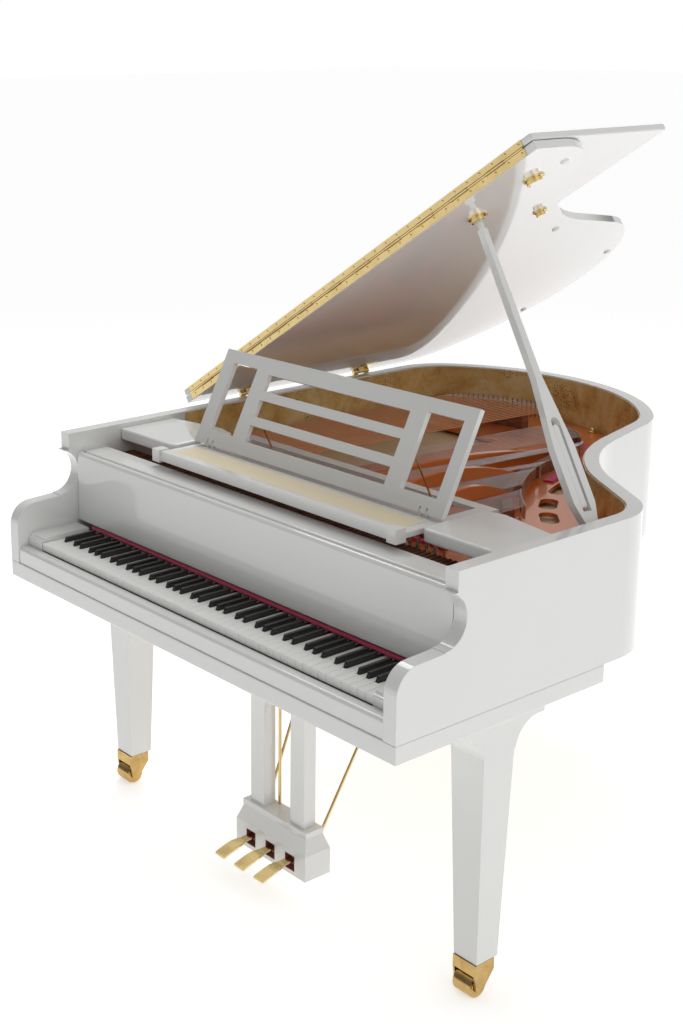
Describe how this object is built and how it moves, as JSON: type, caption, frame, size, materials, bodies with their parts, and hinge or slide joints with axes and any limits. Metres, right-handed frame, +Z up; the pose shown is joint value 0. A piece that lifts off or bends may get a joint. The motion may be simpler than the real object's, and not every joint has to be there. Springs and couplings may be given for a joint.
{
  "type": "baby grand piano",
  "caption": "White baby grand piano with its lid raised on a prop, folding lid flap, music desk, fallboard, pedals and rolling casters.",
  "frame": {"origin": "floor level, under the middle of the piano's bounding box with its lid raised", "axes": "+Z up, +X towards the treble side (a seated player's right), +Y towards the tail"},
  "size_m": [1.4606, 1.7416, 1.8494],
  "materials": {
    "lacquer": "polished white lacquer on wood",
    "burl": "polished burl veneer",
    "timber": "satin",
    "spruce": "satin",
    "plate": "glossy copper paint",
    "brass": "polished",
    "steel": "bright",
    "copper": "copper winding",
    "felt": "felt",
    "bumper": "soft",
    "ivory": "polished",
    "ebony": "satin"
  },
  "bodies": {
    "case": {"rim": "lacquer", "rim_veneer": "burl", "keybed": "lacquer", "key_slip": "lacquer", "key_blocks": "lacquer", "braces": "timber", "liner": "lacquer", "soundboard": "spruce", "bridges": "timber", "iron_plate": "plate", "plate_bolts": "brass", "tuning_pins": "steel", "treble_strings": "steel", "bass_strings": "copper", "string_felts": "felt", "action_rail": "timber", "hammers": "timber", "wings_and_ledge": "lacquer", "leg_bass": "lacquer", "leg_treble": "lacquer", "leg_tail": "lacquer", "lyre": "lacquer", "lyre_braces": "brass", "lid_hinge_base": "brass", "prop_bracket": "brass"},
    "lid": {"main_lid": "lacquer", "lid_hinge_leaves": "brass", "fold_leaf_lid": "brass", "prop_cups": "brass", "lid_bumpers": "bumper"},
    "flap": {"front_flap": "lacquer", "fold_leaf_flap": "brass"},
    "prop": {"prop_stick": "lacquer"},
    "half_prop": {"half_stick": "lacquer"},
    "shelf": {"music_shelf": "lacquer"},
    "desk": {"music_desk": "lacquer"},
    "struts": {"desk_struts": "brass"},
    "fall": {"fallboard": "lacquer"},
    "pedal_left": {"pedal_left": "brass"},
    "pedal_middle": {"pedal_middle": "brass"},
    "pedal_right": {"pedal_right": "brass"},
    "caster_bass": {"fork_bass": "brass"},
    "roller_bass": {"wheel_bass": "brass"},
    "caster_treble": {"fork_treble": "brass"},
    "roller_treble": {"wheel_treble": "brass"},
    "caster_tail": {"fork_tail": "brass"},
    "roller_tail": {"wheel_tail": "brass"},
    "naturals_bass": {"naturals_bass": "ivory"},
    "naturals_treble": {"naturals_treble": "ivory"},
    "sharps_bass": {"sharps_bass": "ebony"},
    "sharps_treble": {"sharps_treble": "ebony"},
    "key_c4": {"key_c4": "ivory"},
    "key_d4": {"key_d4": "ivory"},
    "key_e4": {"key_e4": "ivory"},
    "key_f4": {"key_f4": "ivory"},
    "key_g4": {"key_g4": "ivory"},
    "key_a4": {"key_a4": "ivory"},
    "key_b4": {"key_b4": "ivory"},
    "sharps_c4_d4": {"sharps_c4_d4": "ebony"},
    "sharps_f4_g4_a4": {"sharps_f4_g4_a4": "ebony"}
  },
  "joints": [
    {"name": "lid_hinge", "type": "hinge", "parent": "case", "child": "lid", "pos_m": [-0.69374, -0.83482, 1.038], "axis": [0, -1, 0], "range_deg": [0, 25]},
    {"name": "flap_fold", "type": "hinge", "parent": "lid", "child": "flap", "pos_m": [-0.10721, -0.26842, 1.44249], "axis": [0.8434, 0, 0.5373], "range_deg": [0, 150]},
    {"name": "prop_swing", "type": "hinge", "parent": "case", "child": "prop", "pos_m": [0.67226, -0.22282, 1], "axis": [-0.8264, 0, -0.5631], "range_deg": [0, 50]},
    {"name": "half_prop_swing", "type": "hinge", "parent": "prop", "child": "half_prop", "pos_m": [0.64094, -0.21643, 1.04598], "axis": [-0.0642, -0.9935, 0.0943], "range_deg": [0, 40]},
    {"name": "shelf_slide", "type": "slide", "parent": "case", "child": "shelf", "axis": [0, -1, 0], "range_m": [0, 0.06]},
    {"name": "desk_tilt", "type": "hinge", "parent": "shelf", "child": "desk", "pos_m": [0.01826, -0.45682, 1.022], "axis": [-1, 0, 0], "range_deg": [0, 62]},
    {"name": "strut_fold", "type": "hinge", "parent": "desk", "child": "struts", "pos_m": [0.01826, -0.39165, 1.12347], "axis": [-1, 0, 0], "range_deg": [-124, 0]},
    {"name": "fallboard_turn", "type": "hinge", "parent": "case", "child": "fall", "pos_m": [0.01826, -0.66982, 0.801], "axis": [1, 0, 0], "range_deg": [0, 88]},
    {"name": "pedal_left_press", "type": "hinge", "parent": "case", "child": "pedal_left", "pos_m": [-0.05574, -0.52982, 0.078], "axis": [1, 0, 0], "range_deg": [0, 6], "stiffness_Nm_per_rad": 6, "springref_deg": -5.73},
    {"name": "pedal_middle_press", "type": "hinge", "parent": "case", "child": "pedal_middle", "pos_m": [0.01826, -0.52982, 0.078], "axis": [1, 0, 0], "range_deg": [0, 6], "stiffness_Nm_per_rad": 6, "springref_deg": -5.73},
    {"name": "pedal_right_press", "type": "hinge", "parent": "case", "child": "pedal_right", "pos_m": [0.09226, -0.52982, 0.078], "axis": [1, 0, 0], "range_deg": [0, 6], "stiffness_Nm_per_rad": 6, "springref_deg": -5.73},
    {"name": "caster_bass_swivel", "type": "hinge", "parent": "case", "child": "caster_bass", "pos_m": [-0.62174, -0.53582, 0], "axis": [0, 0, 1], "continuous": true},
    {"name": "caster_bass_roll", "type": "hinge", "parent": "caster_bass", "child": "roller_bass", "pos_m": [-0.62174, -0.55382, 0.027], "axis": [1, 0, 0], "continuous": true},
    {"name": "caster_treble_swivel", "type": "hinge", "parent": "case", "child": "caster_treble", "pos_m": [0.65826, -0.53582, 0], "axis": [0, 0, 1], "continuous": true},
    {"name": "caster_treble_roll", "type": "hinge", "parent": "caster_treble", "child": "roller_treble", "pos_m": [0.65826, -0.55382, 0.027], "axis": [1, 0, 0], "continuous": true},
    {"name": "caster_tail_swivel", "type": "hinge", "parent": "case", "child": "caster_tail", "pos_m": [-0.23174, 0.48718, 0], "axis": [0, 0, 1], "continuous": true},
    {"name": "caster_tail_roll", "type": "hinge", "parent": "caster_tail", "child": "roller_tail", "pos_m": [-0.23174, 0.46918, 0.027], "axis": [1, 0, 0], "continuous": true},
    {"name": "naturals_bass_press", "type": "hinge", "parent": "case", "child": "naturals_bass", "pos_m": [0.01826, -0.60482, 0.745], "axis": [1, 0, 0], "range_deg": [0, 2.49], "stiffness_Nm_per_rad": 69, "springref_deg": -5.73},
    {"name": "naturals_treble_press", "type": "hinge", "parent": "case", "child": "naturals_treble", "pos_m": [0.01826, -0.60482, 0.745], "axis": [1, 0, 0], "range_deg": [0, 2.49], "stiffness_Nm_per_rad": 66, "springref_deg": -5.73},
    {"name": "sharps_bass_press", "type": "hinge", "parent": "case", "child": "sharps_bass", "pos_m": [0.01826, -0.60482, 0.745], "axis": [1, 0, 0], "range_deg": [0, 2.49], "stiffness_Nm_per_rad": 48, "springref_deg": -5.73},
    {"name": "sharps_treble_press", "type": "hinge", "parent": "case", "child": "sharps_treble", "pos_m": [0.01826, -0.60482, 0.745], "axis": [1, 0, 0], "range_deg": [0, 2.49], "stiffness_Nm_per_rad": 45, "springref_deg": -5.73},
    {"name": "key_c4_press", "type": "hinge", "parent": "case", "child": "key_c4", "pos_m": [0.01826, -0.60482, 0.745], "axis": [1, 0, 0], "range_deg": [0, 2.49], "stiffness_Nm_per_rad": 3, "springref_deg": -5.73},
    {"name": "key_d4_press", "type": "hinge", "parent": "case", "child": "key_d4", "pos_m": [0.01826, -0.60482, 0.745], "axis": [1, 0, 0], "range_deg": [0, 2.49], "stiffness_Nm_per_rad": 3, "springref_deg": -5.73},
    {"name": "key_e4_press", "type": "hinge", "parent": "case", "child": "key_e4", "pos_m": [0.01826, -0.60482, 0.745], "axis": [1, 0, 0], "range_deg": [0, 2.49], "stiffness_Nm_per_rad": 3, "springref_deg": -5.73},
    {"name": "key_f4_press", "type": "hinge", "parent": "case", "child": "key_f4", "pos_m": [0.01826, -0.60482, 0.745], "axis": [1, 0, 0], "range_deg": [0, 2.49], "stiffness_Nm_per_rad": 3, "springref_deg": -5.73},
    {"name": "key_g4_press", "type": "hinge", "parent": "case", "child": "key_g4", "pos_m": [0.01826, -0.60482, 0.745], "axis": [1, 0, 0], "range_deg": [0, 2.49], "stiffness_Nm_per_rad": 3, "springref_deg": -5.73},
    {"name": "key_a4_press", "type": "hinge", "parent": "case", "child": "key_a4", "pos_m": [0.01826, -0.60482, 0.745], "axis": [1, 0, 0], "range_deg": [0, 2.49], "stiffness_Nm_per_rad": 3, "springref_deg": -5.73},
    {"name": "key_b4_press", "type": "hinge", "parent": "case", "child": "key_b4", "pos_m": [0.01826, -0.60482, 0.745], "axis": [1, 0, 0], "range_deg": [0, 2.49], "stiffness_Nm_per_rad": 3, "springref_deg": -5.73},
    {"name": "sharps_c4_d4_press", "type": "hinge", "parent": "case", "child": "sharps_c4_d4", "pos_m": [0.01826, -0.60482, 0.745], "axis": [1, 0, 0], "range_deg": [0, 2.49], "stiffness_Nm_per_rad": 6, "springref_deg": -5.73},
    {"name": "sharps_f4_g4_a4_press", "type": "hinge", "parent": "case", "child": "sharps_f4_g4_a4", "pos_m": [0.01826, -0.60482, 0.745], "axis": [1, 0, 0], "range_deg": [0, 2.49], "stiffness_Nm_per_rad": 9, "springref_deg": -5.73}
  ],
  "couplings": [
    {"joint": "strut_fold", "follows": "desk_tilt", "ratio": -2}
  ]
}
